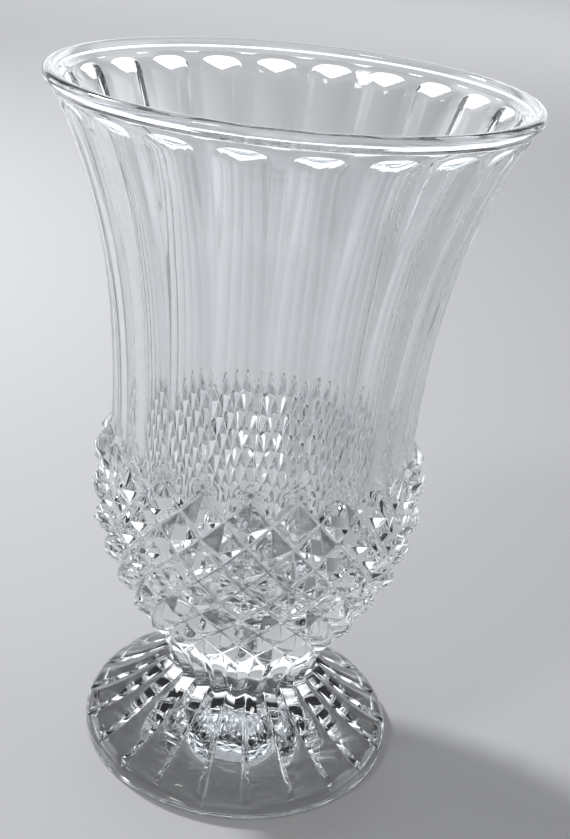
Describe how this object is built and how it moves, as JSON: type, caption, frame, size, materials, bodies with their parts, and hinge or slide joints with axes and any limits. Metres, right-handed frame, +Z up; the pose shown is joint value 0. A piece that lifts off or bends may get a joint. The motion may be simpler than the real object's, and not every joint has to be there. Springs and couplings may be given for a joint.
{
  "type": "footed glass vase",
  "caption": "Footed vase of clear pressed glass: a fluted flared bowl over a band of pointed diamonds, joined at a narrow neck to a petalled round foot.",
  "frame": {"origin": "middle of the flat ring that the foot stands on, at the height of that ring", "axes": "+Z up along the vase's axis to the rim; -Y towards the mould seam at the front; +X to the right of it"},
  "size_m": [0.161, 0.161, 0.252],
  "materials": {
    "clear_glass": "fire-polished clear pressed glass",
    "joint_glass": "clear glass of the hot joint, unpolished",
    "foot_glass": "fire-polished clear pressed glass"
  },
  "bodies": {
    "root": {"bowl": "clear_glass", "joint_wafer": "joint_glass", "foot": "foot_glass"}
  },
  "joints": []
}
